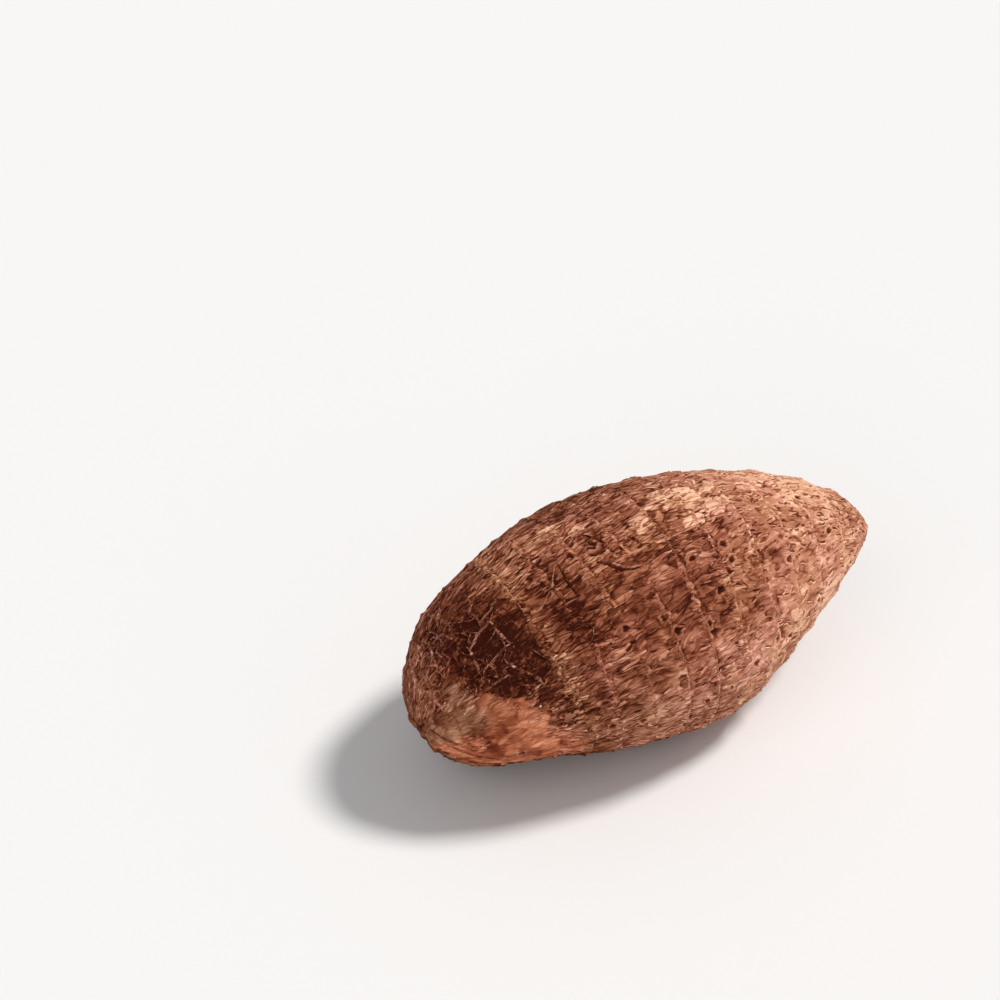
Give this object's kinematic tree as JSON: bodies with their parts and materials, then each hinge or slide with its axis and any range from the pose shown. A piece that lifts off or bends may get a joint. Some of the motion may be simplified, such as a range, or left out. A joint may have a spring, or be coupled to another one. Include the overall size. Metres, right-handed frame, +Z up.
{
  "type": "taro yam tuber",
  "caption": "Long root tuber with a blunt base, a pointed tip and rings of old leaf bases round a fibrous brown skin, lying on its side.",
  "frame": {"origin": "centre of the bounding box in X and Y, on the plane that the tuber rests on", "axes": "+X from the blunt base end towards the pointed tip, +Z up, +Y to the side away from the rubbed patch"},
  "size_m": [0.1832, 0.0864, 0.0851],
  "materials": {
    "skin": "rough fibrous brown skin"
  },
  "bodies": {
    "root": {"tuber": "skin"}
  },
  "joints": []
}
